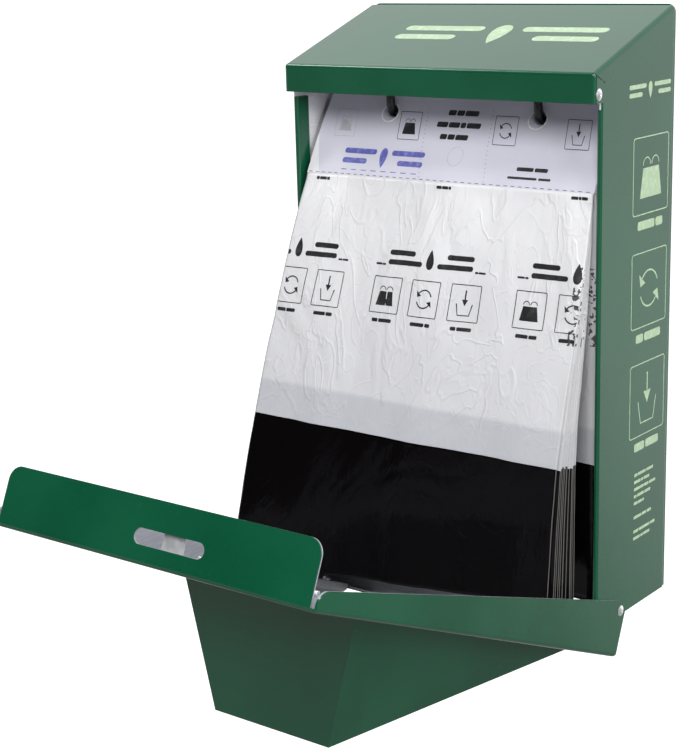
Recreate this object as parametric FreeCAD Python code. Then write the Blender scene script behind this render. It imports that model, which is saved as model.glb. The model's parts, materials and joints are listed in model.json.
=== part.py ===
import FreeCAD, Part
import math
import os

# Wall-mounted dispenser of dog waste mitts, in millimetres.
# The origin is on the back panel's outer face, at the centre of its four mounting holes.
# +X is to the viewer's right, +Y towards the wall and +Z up, so the front faces -Y.
# The cover is stored swung open, resting on its stop.

# ---- driving dimensions: case ----
case_width = 273.0
case_depth = 119.0
case_height = 450.0
roof_rise = 41.6
lip_height = 20.7
side_setback = 9.9
sheet = 2.0
bend = 3.0
fold_r = 1.8
hem_width = 14.0
hem_top_gap = 5.1
rear_flange = 18.0
ear_rivet_in = 6.0
ear_rivet_down = 14.7
lip_tab_depth = 12.0
lip_tab_height = 14.5
slit_width = 0.9

# ---- mounting holes ----
mount_spacing_x = 100.0
mount_spacing_z = 300.0
mount_hole_r = 3.5

# ---- cover ----
open_angle = 66.0
cover_clearance = 0.5
cover_height = 389.4
cover_front_gap = 0.8
pivot_depth = 35.24
pivot_up = 7.7
pivot_above_bottom = 5.0
flange_depth_bottom = 42.6
flange_depth_top = 13.2
flange_corner_r = 7.3
flange_top_r = 8.0
plate_depth = 42.3
plate_end_gap = 1.3
plate_corner_r = 10.3
return_depth = 32.2
slot_length = 59.5
slot_width = 10.4
slot_centre_x = 17.5
slot_centre_in = 17.7

# ---- hood over the mouth ----
hood_root_up = 260.4
hood_root_half = 77.8
hood_ridge_up = 219.0
hood_ridge_out = 98.1
hood_ridge_half = 51.2
hood_foot_up = 12.0
hood_foot_half = 109.0
hood_sheet = 1.6
hood_lap = 12.0
mouth_lip = 1.0
mouth_corner_r = 0.8
mouth_inset = 2.0
collar_inset = 2.3
collar_reach = 3.0

# ---- hangers ----
rod_x = 66.0
rod_drop = 39.6
rod_r = 3.3
rod_reach = 76.5
rod_bend_r = 9.0
rod_top = 158.6
rod_tip_r = 1.2
rod_behind_bracket = 3.0
bracket_half = 104.0
bracket_hat_half = 82.0
bracket_height = 26.0
bracket_stand_off = 12.0
nut_across = 10.0
nut_height = 4.0

# ---- rivets ----
rivet_head_r = 4.1
rivet_head_h = 1.3
rivet_shank_r = 2.4
rivet_tail_r = 3.4
rivet_tail_h = 2.4
tail_round_r = 1.0
small_shank_r = 1.6
running_clearance = 0.05
washer_r = 6.5
washer_thickness = 0.4

# ---- latch ----
leaf_width = 16.0
leaf_thickness = 0.9
latch_root_y = -52.0
latch_leaf_z = 167.5
latch_bracket_foot = 16.0
latch_rivet_out = 4.0
latch_rivet_back = 7.0
keeper_half = 9.0
keeper_drop = 3.0
keeper_thickness = 1.2

# ---- mitt pack ----
mitt_half = 127.5
card_hole_r = 8.2

# ---- derived positions ----
half = case_width / 2
inner_half = half - sheet
z_bottom = -case_height / 2
z_back_top = case_height / 2
z_front = z_back_top - roof_rise
z_lip = z_front - lip_height
y_front = -case_depth
y_side = y_front + side_setback
roof_slope = roof_rise / case_depth
roof_drop = sheet * math.hypot(1.0, roof_slope)
pivot_z = z_bottom + pivot_above_bottom
cover_y = y_side - cover_front_gap - sheet
cover_z = pivot_z - pivot_up
pivot_y = cover_y + pivot_depth
flange_inner = half + cover_clearance
flange_outer = flange_inner + sheet
plate_half = inner_half - plate_end_gap
rod_z = z_front - rod_drop
far = 1000.0

X = FreeCAD.Vector(1, 0, 0)
Y = FreeCAD.Vector(0, 1, 0)
Z = FreeCAD.Vector(0, 0, 1)


def vec(x, y, z):
    return FreeCAD.Vector(x, y, z)


def block(x0, x1, y0, y1, z0, z1):
    return Part.makeBox(x1 - x0, y1 - y0, z1 - z0, vec(x0, y0, z0))


def wire(points):
    return Part.makePolygon(points + [points[0]])


def prism_x(profile, x0, x1):
    """Extrudes a closed (y, z) outline along X."""
    face = Part.Face(wire([vec(x0, y, z) for y, z in profile]))
    return face.extrude(vec(x1 - x0, 0, 0))


def rod(start, direction, radius, length):
    return Part.makeCylinder(radius, length, start, direction)


def roof_z(y):
    """Height of the roof's outer face at depth y."""
    return z_front + (y - y_front) * roof_slope


def edges_where(shape, test):
    return [e for e in shape.Edges if test(e)]


def spans(edge, axis):
    """True for a straight edge that runs along the axis."""
    a = edge.Vertexes[0].Point
    b = edge.Vertexes[-1].Point
    return (b - a).Length > 1e-6 and abs((b - a).normalize().dot(axis)) > 0.9999


def middle(edge):
    return edge.CenterOfMass


def save(name, *solids):
    shape = solids[0] if len(solids) == 1 else Part.makeCompound(list(solids))
    shape.exportStep("parts/" + name + ".step")


def at_front(edge, y):
    """True for an edge that lies in the plane of that y."""
    return all(abs(v.Point.y - y) < 0.01 for v in edge.Vertexes)


def mirror_x(shape):
    return shape.mirror(vec(0, 0, 0), X)


def opened(shape):
    """Turns a cover piece from its closed place to its open one."""
    turned = shape.copy()
    turned.rotate(vec(0, pivot_y, pivot_z), X, open_angle)
    return turned


def cover_point(x, up, depth):
    """A point of the closed cover: up from its bottom edge, and depth inward from its outer face."""
    return vec(x, cover_y + depth, cover_z + up)


def blind_rivet(face_point, outward, grip):
    """A domed blind rivet: the head stands on face_point, and the tail is past the grip."""
    inward = outward * -1
    head_r = rivet_head_r
    head_h = rivet_head_h
    sphere_r = (head_r ** 2 + head_h ** 2) / (2 * head_h)
    ball = Part.makeSphere(sphere_r, face_point - outward * (sphere_r - head_h))
    head = ball.common(rod(face_point, outward, head_r, head_h + 1))
    dimple = rod(face_point + outward * (head_h - 0.5), outward, 1.1, 1.0)
    shank = rod(face_point, inward, rivet_shank_r, grip)
    tail = rod(face_point + inward * grip, inward, rivet_tail_r, rivet_tail_h)
    rim = edges_where(tail, lambda e: middle(e).distanceToPoint(face_point) > grip + 1)
    tail = tail.makeFillet(tail_round_r, rim[:1])
    return head.cut(dimple).fuse([shank, tail]).removeSplitter()


# ---- case shell: roof, sides and lip from one sheet ----
def case_shell():
    y_rear = -sheet
    outline = [(y_rear, z_bottom), (y_rear, roof_z(y_rear)), (y_front, z_front)]
    outline += [(y_front, z_lip), (y_side, z_lip), (y_side, z_bottom)]
    solid = prism_x(outline, -half, half)

    def folded(edge):
        at = middle(edge)
        along_top = at.z > z_lip + 1 and abs(abs(at.x) - half) < 0.01
        rear_corner = abs(at.y - y_rear) < 0.01 and abs(abs(at.x) - half) < 0.01
        roof_end = spans(edge, X) and at.z > z_lip + 1
        return along_top or rear_corner or roof_end

    solid = solid.makeFillet(bend, edges_where(solid, folded))
    side_fronts = edges_where(solid, lambda e: at_front(e, y_side) and spans(e, Z))
    solid = solid.makeFillet(fold_r, side_fronts)
    y_lip_in = y_front + sheet
    y_back_in = y_rear - sheet
    room = [(y_back_in, -far), (y_back_in, roof_z(y_back_in) - roof_drop)]
    room += [(y_lip_in, roof_z(y_lip_in) - roof_drop), (y_lip_in, -far)]
    cavity = prism_x(room, -inner_half, inner_half)

    def inside_bend(edge):
        at = middle(edge)
        if abs(abs(at.x) - inner_half) < 0.01:
            return at.z > -far + 1
        return spans(edge, X) and at.z > 0

    cavity = cavity.makeFillet(bend - sheet, edges_where(cavity, inside_bend))
    window_half = half - rear_flange
    window_top = z_back_top - rear_flange
    window = block(-window_half, window_half, y_back_in - 1, 1, -far, window_top)
    solid = solid.cut(cavity).cut(window)
    for side in (1, -1):
        solid = solid.fuse(front_hem(side))
    solid = solid.removeSplitter()
    for side in (1, -1):
        solid = solid.cut(corner_slit(side))
        solid = solid.fuse(lip_tab(side))
        solid = solid.cut(rod(ear_point(0), X, rivet_shank_r, far))
        solid = solid.cut(rod(ear_point(0), X * -1, rivet_shank_r, far))
    pivot = vec(-far, pivot_y, pivot_z)
    solid = solid.cut(rod(pivot, X, rivet_shank_r, 2 * far))
    for x, z in back_rivet_places():
        solid = solid.cut(rod(vec(x, -3 * sheet, z), Y, rivet_shank_r, 3 * sheet))
    return solid.removeSplitter()


def front_hem(side):
    """The front edge of a side panel, folded back flat against its inner face."""
    inner = inner_half - sheet
    top = z_lip - hem_top_gap
    hem = block(inner, inner_half, y_side, y_side + hem_width, z_bottom, top)
    upright = edges_where(hem, lambda e: at_front(e, y_side) and spans(e, Z))
    inner_edge = [e for e in upright if middle(e).x < inner + 0.1]
    hem = hem.makeFillet(fold_r, inner_edge)
    return hem if side > 0 else mirror_x(hem)


def corner_slit(side):
    """The relief cut between the roof's bend and the ear, through the side panel."""
    start = vec(inner_half - 1, y_front + 1.4, z_front - 1.2)
    run = vec(0, 12.2, -6.2)
    normal = vec(0, 6.2, 12.2).normalize()
    a = start - normal * (slit_width / 2)
    b = start + normal * (slit_width / 2)
    face = Part.Face(wire([a, a + run, b + run, b]))
    slit = face.extrude(vec(sheet + 2, 0, 0))
    return slit if side > 0 else mirror_x(slit)


def ear_point(x):
    return vec(x, y_front + ear_rivet_in, z_front - ear_rivet_down)


def lip_tab(side):
    """The lip's end, folded back flat inside the ear."""
    y0 = y_front + sheet - 0.2
    top = z_lip + lip_tab_height
    tab = block(inner_half - sheet, inner_half + 0.2, y0, y0 + lip_tab_depth, z_lip, top)
    return tab if side > 0 else mirror_x(tab)


# ---- back panel ----
def back_rivet_places():
    x = half - rear_flange / 2 - 1
    side_z = [z_bottom + 25 + i * 125.0 for i in range(4)]
    places = [(s * x, z) for s in (1, -1) for z in side_z]
    return places + [(s * 60.0, z_back_top - 11) for s in (1, -1)]


def mount_places():
    x = mount_spacing_x / 2
    z = mount_spacing_z / 2
    return [(sx * x, sz * z) for sx in (1, -1) for sz in (1, -1)]


def back_panel():
    edge = 1.0
    panel = block(-half + edge, half - edge, -sheet, 0, z_bottom, z_back_top - edge)
    corners = edges_where(panel, lambda e: spans(e, Y) and middle(e).z > 0)
    panel = panel.makeFillet(6.0, corners)
    for x, z in mount_places():
        panel = panel.cut(rod(vec(x, -far, z), Y, mount_hole_r, 2 * far))
    for x, z in back_rivet_places():
        cone = Part.makeCone(rivet_shank_r, rivet_head_r, sheet, vec(x, -sheet, z), Y)
        panel = panel.cut(cone)
    for x in bracket_rivet_places():
        cone = Part.makeCone(rivet_shank_r, rivet_head_r, sheet, vec(x, -sheet, rod_z), Y)
        panel = panel.cut(cone)
    return panel


def flush_rivet(x, z, grip):
    """A countersunk rivet, flush with the back panel, with its tail inside the case."""
    cone = Part.makeCone(rivet_shank_r, rivet_head_r, sheet, vec(x, -sheet, z), Y)
    shank = rod(vec(x, -grip, z), Y, rivet_shank_r, grip - sheet)
    tail = rod(vec(x, -grip - rivet_tail_h, z), Y, rivet_tail_r, rivet_tail_h)
    rim = edges_where(tail, lambda e: middle(e).y < -grip - rivet_tail_h + 0.1)
    return cone.fuse([shank, tail.makeFillet(tail_round_r, rim)])


# ---- hangers ----
def bracket_rivet_places():
    x = (bracket_half + bracket_hat_half) / 2 + 1
    return [x, -x]


def hanger_bracket():
    """A hat-section strip: its two feet lie on the back panel."""
    y0 = -sheet
    y1 = -sheet - bracket_stand_off
    h = bracket_hat_half
    w = bracket_half
    outline = [(-w, y0), (-h + sheet, y0), (-h + sheet, y1 + sheet), (h - sheet, y1 + sheet)]
    outline += [(h - sheet, y0), (w, y0), (w, y0 - sheet), (h, y0 - sheet), (h, y1)]
    outline += [(-h, y1), (-h, y0 - sheet), (-w, y0 - sheet)]
    low = rod_z - bracket_height / 2
    face = Part.Face(wire([vec(x, y, low) for x, y in outline]))
    strip = face.extrude(vec(0, 0, bracket_height))
    folds = edges_where(strip, lambda e: spans(e, Z) and middle(e).y > y1 - 0.1)
    outer = [e for e in folds if abs(abs(middle(e).x) - h) < 0.1 and middle(e).y < y1 + 0.1]
    strip = strip.makeFillet(fold_r, outer)
    holes = [(side * rod_x, rod_r) for side in (1, -1)]
    holes += [(x, rivet_shank_r) for x in bracket_rivet_places()]
    for x, radius in holes:
        strip = strip.cut(rod(vec(x, -far, rod_z), Y, radius, far))
    return strip


def hanger_rod(side):
    """An L-shaped rod: it comes forward from the bracket, then turns up."""
    x = side * rod_x
    start = vec(x, -sheet - rod_behind_bracket, rod_z)
    corner_y = -rod_reach
    r = rod_bend_r
    a = vec(x, corner_y + r, rod_z)
    b = vec(x, corner_y, rod_z + r)
    k = r * (1 - math.sqrt(0.5))
    mid = vec(x, corner_y + k, rod_z + k)
    top = vec(x, corner_y, rod_top)
    path = Part.Wire([Part.LineSegment(start, a).toShape(), Part.Arc(a, mid, b).toShape(),
                      Part.LineSegment(b, top).toShape()])
    circle = Part.Wire(Part.Circle(start, Y, rod_r).toShape())
    solid = path.makePipeShell([circle], True, False)
    ends = edges_where(solid, lambda e: middle(e).z > rod_top - 0.1)
    return solid.makeFillet(rod_tip_r, ends)


def hex_nut(x, y, z):
    """A hex nut on a hanger rod, with its axis along Y."""
    r = nut_across / math.sqrt(3)
    points = []
    for i in range(6):
        angle = math.radians(60 * i + 30)
        points.append(vec(x + r * math.cos(angle), y, z + r * math.sin(angle)))
    nut = Part.Face(wire(points)).extrude(vec(0, nut_height, 0))
    crown = Part.makeSphere(r + 0.9, vec(x, y + nut_height / 2, z))
    return nut.common(crown).cut(rod(vec(x, y - 1, z), Y, rod_r, nut_height + 2))


# ---- latch ----
def latch_bracket():
    """A bent strip welded under the roof, which carries the latch leaf."""
    y0 = latch_root_y - 2.0
    y1 = latch_root_y + 16.0
    z0 = latch_leaf_z + leaf_thickness
    y2 = y1 + latch_bracket_foot
    outline = [(y0, z0), (y1, z0), (y1, roof_z(y1) - roof_drop - sheet)]
    outline += [(y2, roof_z(y2) - roof_drop - sheet)]
    outline += [(y2, roof_z(y2) - roof_drop), (y1 - sheet, roof_z(y1 - sheet) - roof_drop)]
    outline += [(y1 - sheet, z0 + sheet), (y0, z0 + sheet)]
    x0 = slot_centre_x - leaf_width / 2
    bracket = prism_x(outline, x0, x0 + leaf_width)
    for x in latch_rivet_xs():
        bracket = bracket.cut(rod(vec(x, latch_root_y + latch_rivet_back, 0), Z, small_shank_r, far))
    return bracket


def latch_rivet_xs():
    return [slot_centre_x - latch_rivet_out, slot_centre_x + latch_rivet_out]


def latch_leaf():
    """A sprung steel strip with a hook that drops into the cover's slot."""
    y_hook = cover_y + slot_centre_in + slot_width / 2 - 0.7
    z = latch_leaf_z
    t = leaf_thickness
    nose_z = z_lip - 2.8
    y_root = latch_root_y + 13.0
    outline = [(y_root, z), (y_hook, z), (y_hook, nose_z), (y_hook - 3.0, nose_z)]
    outline += [(y_hook - 7.0, z_lip + 1.4), (y_front + 6.0, z_lip + 1.4)]
    outline += [(y_front + 6.0, z_lip + 1.4 + t), (y_hook - 6.6, z_lip + 1.4 + t)]
    outline += [(y_hook - 2.9 + t, nose_z + t + 0.6), (y_hook - t, nose_z + t + 0.6)]
    outline += [(y_hook - t, z + t), (y_root, z + t)]
    x0 = slot_centre_x - leaf_width / 2
    leaf = prism_x(outline, x0, x0 + leaf_width)
    hole_r = small_shank_r + running_clearance
    for x in latch_rivet_xs():
        leaf = leaf.cut(rod(vec(x, latch_root_y + latch_rivet_back, 0), Z, hole_r, far))
    return leaf


def small_rivet(point, outward, grip):
    """A small rivet with a flat round head on each side of the grip."""
    head = rod(point, outward, 2.6, 1.0)
    shank = rod(point, outward * -1, small_shank_r, grip)
    tail = rod(point - outward * grip, outward * -1, 2.4, 1.0)
    return head.fuse([shank, tail])


# ---- cover ----
def flange_outline(x):
    """The side flange's outline in the closed cover's side plane."""
    up = cover_height
    r = flange_corner_r
    d0 = flange_depth_bottom
    d1 = flange_depth_top
    slope = math.atan2(d0 - d1, up)
    centre_depth = pivot_depth
    centre_up = pivot_up - 0.2
    low = Part.LineSegment(cover_point(x, 0, 0), cover_point(x, centre_up - r, centre_depth))
    start = cover_point(x, centre_up - r, centre_depth)
    mid_angle = (-math.pi / 2 + slope) / 2
    end = cover_point(x, centre_up + r * math.sin(slope), centre_depth + r * math.cos(slope))
    mid = cover_point(x, centre_up + r * math.sin(mid_angle), centre_depth + r * math.cos(mid_angle))
    corner = Part.Arc(start, mid, end)
    k = flange_top_r
    rise_end = cover_point(x, up - k, d1 + k * math.tan(slope))
    rise = Part.LineSegment(end, rise_end)
    top_mid = cover_point(x, up - k * (1 - math.sqrt(0.5)), d1 - k * (1 - math.sqrt(0.5)))
    top_end = cover_point(x, up, d1 - k)
    round_top = Part.Arc(rise_end, top_mid, top_end)
    top = Part.LineSegment(top_end, cover_point(x, up, 0))
    front = Part.LineSegment(cover_point(x, up, 0), cover_point(x, 0, 0))
    parts = [low, corner, rise, round_top, top, front]
    return Part.Wire([p.toShape() for p in parts])


def cover_panel():
    top_z = cover_z + cover_height
    behind_flange = cover_y + flange_depth_bottom + 1
    front = block(-flange_outer, flange_outer, cover_y, behind_flange, cover_z, top_z)
    front = front.makeFillet(bend, edges_where(front, lambda e: at_front(e, cover_y)))
    sides = Part.Face(flange_outline(-flange_outer)).extrude(vec(2 * flange_outer, 0, 0))
    tray = front.common(sides)
    hollow = block(-flange_inner, flange_inner, cover_y + sheet, far, cover_z + sheet, top_z - sheet)
    inside = edges_where(hollow, lambda e: at_front(e, cover_y + sheet))
    tray = tray.cut(hollow.makeFillet(bend - sheet, inside))
    behind = cover_y + return_depth
    tray = tray.cut(block(-flange_inner, flange_inner, behind, far, cover_z - 1, cover_z + sheet + 1))
    gap_y = cover_y + sheet + 0.5
    gap = block(plate_half, flange_inner, gap_y, far, top_z - sheet - 0.5, top_z + 1)
    tray = tray.cut(gap).cut(mirror_x(gap))
    plate = block(-plate_half, plate_half, cover_y + 5, cover_y + plate_depth, top_z - sheet, top_z)
    rear = edges_where(plate, lambda e: spans(e, Z) and middle(e).y > cover_y + 10)
    tray = tray.fuse(plate.makeFillet(plate_corner_r, rear)).removeSplitter()
    tray = tray.cut(slot_cutter()).cut(mouth_cutter())
    hole = rod(vec(-far, pivot_y, pivot_z), X, rivet_shank_r + running_clearance, 2 * far)
    tray = tray.cut(hole)
    for x, up in hood_rivet_places():
        tray = tray.cut(rod(cover_point(x, up, -5), Y, rivet_shank_r, 20))
    return tray


def slot_cutter():
    y = cover_y + slot_centre_in
    r = slot_width / 2
    run = slot_length / 2 - r
    z = cover_z + cover_height - 6
    body = block(slot_centre_x - run, slot_centre_x + run, y - r, y + r, z, z + 12)
    ends = [rod(vec(slot_centre_x + s * run, y, z), Z, r, 12) for s in (1, -1)]
    return body.fuse(ends)


def mouth_cutter():
    """The trapezoid mouth behind the hood, with rounded corners."""
    low = hood_foot_up + mouth_inset
    high = hood_root_up - mouth_inset
    low_half = hood_foot_half - mouth_inset
    high_half = hood_root_half - mouth_inset
    corners = [(low_half, low), (high_half, high), (-high_half, high), (-low_half, low)]
    face = Part.Face(wire([cover_point(x, up, -1) for x, up in corners]))
    cutter = face.extrude(vec(0, sheet + 2, 0))
    upright = edges_where(cutter, lambda e: spans(e, Y))
    return cutter.makeFillet(mouth_corner_r, upright)


# ---- hood ----
def hood_corners(half_root, half_ridge, half_foot):
    root = cover_point(half_root, hood_root_up, 0)
    ridge = cover_point(half_ridge, hood_ridge_up, -hood_ridge_out)
    foot = cover_point(half_foot, hood_foot_up, 0)
    return root, ridge, foot


def slab(points, inward, thickness):
    """A flat sheet: its outer face has these points, and it is thick towards inward."""
    a, b, c = points[0], points[1], points[2]
    normal = (b - a).cross(c - a).normalize()
    if normal.dot(inward) < 0:
        normal = normal * -1
    return Part.Face(wire(points)).extrude(normal * thickness)


def pyramid(offset):
    """The hood's outer solid, shrunk inward by offset."""
    root_r, ridge_r, foot_r = hood_corners(hood_root_half, hood_ridge_half, hood_foot_half)
    root_l, ridge_l, foot_l = hood_corners(-hood_root_half, -hood_ridge_half, -hood_foot_half)
    faces = [[root_r, ridge_r, ridge_l, root_l], [root_r, foot_r, ridge_r]]
    faces += [[root_l, ridge_l, foot_l], [ridge_r, foot_r, foot_l, ridge_l]]
    faces += [[root_r, root_l, foot_l, foot_r]]
    shell = Part.Shell([Part.Face(wire(points)) for points in faces])
    solid = Part.Solid(shell)
    if solid.Volume < 0:
        solid.reverse()
    if offset == 0:
        return solid
    centre = cover_point(0, hood_foot_up + 80, -20)
    for points in faces[:3]:
        solid = solid.cut(slab(points, centre - points[0], offset))
    return solid


def cover_hood():
    """The folded awning, with laps that lie behind the cover panel."""
    walls = pyramid(0).cut(pyramid(hood_sheet))
    walls = walls.cut(block(-far, far, cover_y - 0.01, far, -far, far))
    hood = walls.fuse(hood_collar()).cut(mouth_face_cutter())
    for x, up in hood_rivet_places():
        hood = hood.cut(rod(cover_point(x, up, -5), Y, rivet_shank_r, 20))
    return hood.removeSplitter()


def mouth_face_cutter():
    """Opens the hood's front, from the ridge down to the feet."""
    a = cover_point(0, hood_ridge_up, -hood_ridge_out)
    b = cover_point(0, hood_foot_up, 0)
    down = (b - a).normalize()
    inward = vec(0, -down.z, down.y)
    if inward.y < 0:
        inward = inward * -1
    a = a - down * 50
    b = b + down * 50
    back = inward * mouth_lip
    out = inward * -40
    face = Part.Face(wire([a + back, b + back, b + out, a + out]))
    face.translate(vec(-200, 0, 0))
    return face.extrude(vec(400, 0, 0))


def hood_collar():
    """The part of the hood that passes through the mouth and turns out behind the panel."""
    y0 = cover_y - collar_reach
    y1 = cover_y + sheet + 0.1
    y2 = y1 + hood_sheet

    def ring(grow, y_from, y_to):
        low = hood_foot_up + collar_inset - grow
        high = hood_root_up - collar_inset + grow
        low_half = hood_foot_half - collar_inset + grow
        high_half = hood_root_half - collar_inset + grow
        corners = [(low_half, low), (high_half, high), (-high_half, high), (-low_half, low)]
        face = Part.Face(wire([vec(x, y_from, cover_z + up) for x, up in corners]))
        return face.extrude(vec(0, y_to - y_from, 0))

    neck = ring(0, y0, y2).cut(ring(-hood_sheet, y0 - 1, y2 + 1))
    lap = ring(hood_lap, y1, y2).cut(ring(-hood_sheet, y1 - 1, y2 + 1))
    lowest = cover_z + hood_foot_up + collar_inset + hood_sheet
    below = block(-far, far, -far, far, -far, lowest)
    return neck.fuse(lap).cut(below)


def hood_rivet_places():
    """(x, up) of the rivets which hold the hood's laps to the cover panel."""
    places = [(s * 45.0, hood_root_up + 5.0) for s in (1, -1)]
    for share in (0.12, 0.5, 0.88):
        up = hood_foot_up + share * (hood_root_up - hood_foot_up)
        reach = hood_foot_half + share * (hood_root_half - hood_foot_half) + 4.5
        places += [(s * reach, up) for s in (1, -1)]
    return places


# ---- latch keeper, under the slot ----
def latch_keeper():
    """A bright strip welded under the plate: it crosses below the slot and turns up at its front."""
    plate = cover_height - sheet
    low = plate - keeper_drop
    t = keeper_thickness
    points = [(36.0, plate), (26.0, plate), (23.6, low), (10.4, low), (10.4, plate - 0.3)]
    points += [(9.2, plate - 0.3), (9.2, low - t), (24.2, low - t), (26.6, plate - t)]
    points += [(36.0, plate - t)]
    profile = [(cover_y + depth, cover_z + up) for depth, up in points]
    return prism_x(profile, slot_centre_x - keeper_half, slot_centre_x + keeper_half)


# ---- mitt pack: plain solids for what is soft ----
def mitt_solid(profile):
    return prism_x(profile, -mitt_half, mitt_half)


def header_cards():
    profile = [(-20.0, 98.5), (-20.0, 157.5), (-68.0, 157.5), (-101.0, 98.5)]
    cards = mitt_solid(profile)
    for side in (1, -1):
        cards = cards.cut(rod(vec(side * rod_x, -far, rod_z), Y, card_hole_r, far))
    return cards


def rear_mitts():
    return mitt_solid([(-8.0, 98.0), (-8.0, -190.0), (-75.0, -190.0), (-75.0, 98.0)])


def fanned_mitts():
    profile = [(-75.6, 97.5), (-75.6, -180.0), (-112.0, -186.0)]
    profile += [(-158.0, -186.0), (-150.0, -90.0), (-124.0, 20.0), (-100.0, 97.5)]
    return mitt_solid(profile)


def front_mitt():
    outer = [(-104.0, 98.0), (-129.0, 48.0), (-155.0, -12.0), (-181.0, -78.0)]
    outer += [(-195.0, -118.0), (-208.0, -160.0), (-213.0, -186.0)]
    inner = [(-160.0, -186.0), (-151.0, -90.0), (-125.0, 20.0), (-101.0, 98.0)]
    return mitt_solid(outer + inner)


def main():
    os.makedirs("parts", exist_ok=True)
    save("case_shell", case_shell())
    save("back_panel", back_panel())
    save("back_rivets", *[flush_rivet(x, z, 2 * sheet) for x, z in back_rivet_places()])
    ear = ear_point(half)
    right_ear = blind_rivet(ear, X, 2 * sheet)
    save("ear_rivets", right_ear, mirror_x(right_ear))
    save("hanger_bracket", hanger_bracket())
    bracket_rivets = [flush_rivet(x, rod_z, 2 * sheet) for x in bracket_rivet_places()]
    save("bracket_rivets", *bracket_rivets)
    save("right_hanger_rod", hanger_rod(1))
    save("left_hanger_rod", hanger_rod(-1))
    y_front_nut = -sheet - bracket_stand_off - nut_height
    y_rear_nut = -bracket_stand_off
    ys = (y_front_nut, y_rear_nut)
    save("hanger_nuts", *[hex_nut(s * rod_x, y, rod_z) for s in (1, -1) for y in ys])
    pivot_face = vec(flange_outer, pivot_y, pivot_z)
    right_pivot = blind_rivet(pivot_face + X * 0.1, X, flange_outer + 0.1 - inner_half)
    save("pivot_rivets", right_pivot, mirror_x(right_pivot))
    washer_at = vec(half + 0.05, pivot_y, pivot_z)
    washer = rod(washer_at, X, washer_r, washer_thickness)
    washer = washer.cut(rod(washer_at - X, X, rivet_shank_r + running_clearance, 3))
    save("pivot_washers", washer, mirror_x(washer))
    save("latch_bracket", latch_bracket())
    top = latch_leaf_z + leaf_thickness + sheet
    rivet_y = latch_root_y + latch_rivet_back
    grip = sheet + leaf_thickness
    save("latch_rivets", *[small_rivet(vec(x, rivet_y, top), Z, grip) for x in latch_rivet_xs()])
    save("latch_leaf", latch_leaf())
    save("cover_panel", opened(cover_panel()))
    save("cover_hood", opened(cover_hood()))
    hood_rivets = [
        blind_rivet(cover_point(x, up, 0), Y * -1, sheet + hood_sheet + 0.1)
        for x, up in hood_rivet_places()
    ]
    save("hood_rivets", *[opened(rivet) for rivet in hood_rivets])
    save("latch_keeper", opened(latch_keeper()))
    save("header_cards", header_cards())
    save("rear_mitts", rear_mitts())
    save("fanned_mitts", fanned_mitts())
    save("front_mitt", front_mitt())


main()
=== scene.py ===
import json
import math
import random

import bmesh
import bpy
from mathutils import Matrix, Vector, noise


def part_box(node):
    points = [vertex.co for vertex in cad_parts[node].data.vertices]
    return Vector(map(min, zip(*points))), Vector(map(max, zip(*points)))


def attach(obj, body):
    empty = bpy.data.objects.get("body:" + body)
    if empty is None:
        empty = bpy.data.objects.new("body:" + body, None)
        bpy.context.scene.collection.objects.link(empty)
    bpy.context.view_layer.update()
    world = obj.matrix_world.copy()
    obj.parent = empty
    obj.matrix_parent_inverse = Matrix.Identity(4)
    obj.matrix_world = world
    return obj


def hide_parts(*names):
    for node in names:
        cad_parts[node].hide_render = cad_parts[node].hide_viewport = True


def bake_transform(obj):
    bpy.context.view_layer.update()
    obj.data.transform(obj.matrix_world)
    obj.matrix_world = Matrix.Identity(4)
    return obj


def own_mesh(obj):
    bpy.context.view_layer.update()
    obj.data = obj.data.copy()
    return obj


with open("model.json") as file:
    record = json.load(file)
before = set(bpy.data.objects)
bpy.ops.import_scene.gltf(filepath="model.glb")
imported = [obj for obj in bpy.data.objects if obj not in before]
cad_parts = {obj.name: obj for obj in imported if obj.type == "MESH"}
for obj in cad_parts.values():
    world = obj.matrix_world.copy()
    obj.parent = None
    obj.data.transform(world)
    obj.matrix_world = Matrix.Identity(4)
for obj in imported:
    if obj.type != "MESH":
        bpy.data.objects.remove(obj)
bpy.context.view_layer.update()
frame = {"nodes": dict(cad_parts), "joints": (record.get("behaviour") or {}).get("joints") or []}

MM = 0.001
JOINTS = {joint["name"]: joint for joint in frame["joints"]}

# ---- the case ----
SHELL_LOW, SHELL_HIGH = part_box("case_shell")
HALF = SHELL_HIGH.x
SHEET = 2 * MM
Y_FRONT = SHELL_LOW.y
CASE_DEPTH = -Y_FRONT
Z_BOTTOM = SHELL_LOW.z
ROOF_RISE = 41.6 * MM
ROOF_SLOPE = ROOF_RISE / CASE_DEPTH
Z_FRONT = -Z_BOTTOM - ROOF_RISE
LIP_HEIGHT = 20.7 * MM
BACK_PANEL_FACE = -SHEET * 1.5

# the side panels' front edges are folded back to painted hems
Y_SIDE = Y_FRONT + 9.9 * MM
HEM_WIDTH = 14 * MM
HEM_THICKNESS = 2.2 * SHEET
HEM_TOP = Z_FRONT - LIP_HEIGHT - 4.8 * MM

# ---- the closed cover: its pivot's place behind its front face and above its lower edge ----
PIVOT = Vector(JOINTS["cover_hinge"]["pos_m"])
OPEN_ANGLE = math.radians(JOINTS["cover_hinge"]["range_deg"][1])
COVER_DEPTH = 35.24 * MM
COVER_BELOW = 7.7 * MM
COVER_HEIGHT = 389.4 * MM
COVER_PLAY = 0.5 * MM

# the hood's outer faces: half width and top where they meet the cover, how much the cheeks close
# in going up and going outwards, and how much the top falls going outwards
HOOD_HALF = 110.5 * MM
HOOD_TOP = 260.4 * MM
CHEEK_UP = 0.1256
CHEEK_OUT = 0.324
TOP_OUT = 0.422
# half way through the hood's sheet, across each slope
CHEEK_MIDDLE = 0.85 * MM
TOP_MIDDLE = 0.87 * MM

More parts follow.
